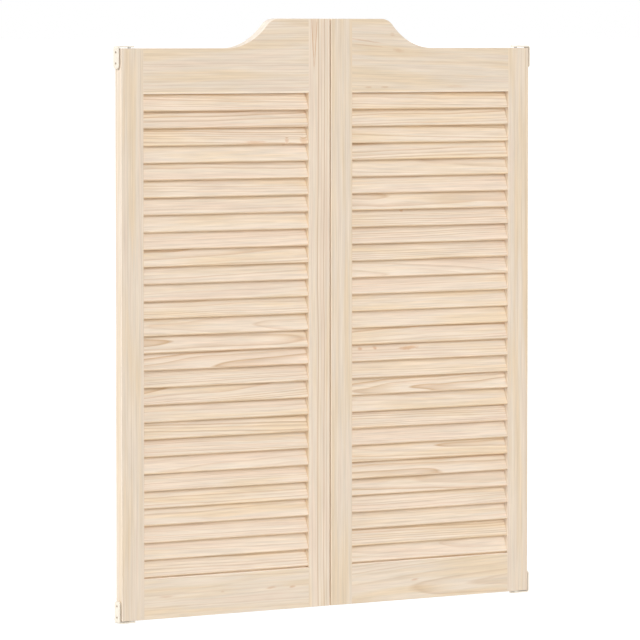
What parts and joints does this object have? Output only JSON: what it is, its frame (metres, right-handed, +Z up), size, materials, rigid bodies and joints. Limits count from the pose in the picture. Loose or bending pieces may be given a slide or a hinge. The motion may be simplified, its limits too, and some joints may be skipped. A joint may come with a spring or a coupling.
{
  "type": "cafe swinging doors",
  "caption": "Pair of half-height louvred pine doors with S-curved top edges, hung between jambs on two-way pivots that swing both ways and meet at the middle.",
  "frame": {"origin": "middle of the doorway, in the doors' mid-plane, level with the undersides of the lower jamb brackets", "axes": "+X to the right across the doorway, +Y to the back of the doors, +Z up"},
  "size_m": [0.9144, 0.019, 1.0705],
  "materials": {
    "pine": "sanded, unfinished",
    "white_steel": "white powder coat",
    "zinc_steel": "bright zinc plated",
    "nylon": "moulded"
  },
  "bodies": {
    "jamb_hardware": {"left_lower_bracket": "white_steel", "left_upper_bracket": "white_steel", "left_lower_pin": "zinc_steel", "left_upper_pin": "zinc_steel", "left_lower_washer": "nylon", "right_lower_bracket": "white_steel", "right_upper_bracket": "white_steel", "right_lower_pin": "zinc_steel", "right_upper_pin": "zinc_steel", "right_lower_washer": "nylon"},
    "left_leaf": {"left_outer_stile": "pine", "left_inner_stile": "pine", "left_bottom_rail": "pine", "left_top_rail": "pine", "left_slats": "pine", "left_lower_bush": "nylon", "left_upper_bush": "nylon"},
    "right_leaf": {"right_outer_stile": "pine", "right_inner_stile": "pine", "right_bottom_rail": "pine", "right_top_rail": "pine", "right_slats": "pine", "right_lower_bush": "nylon", "right_upper_bush": "nylon"}
  },
  "joints": [
    {"name": "left_swing", "type": "hinge", "parent": "jamb_hardware", "child": "left_leaf", "pos_m": [-0.4287, 0, 0.004], "axis": [0, 0, 1], "range_deg": [-90, 90], "stiffness_Nm_per_rad": 0.25},
    {"name": "right_swing", "type": "hinge", "parent": "jamb_hardware", "child": "right_leaf", "pos_m": [0.4287, 0, 0.004], "axis": [0, 0, -1], "range_deg": [-90, 90], "stiffness_Nm_per_rad": 0.25}
  ]
}
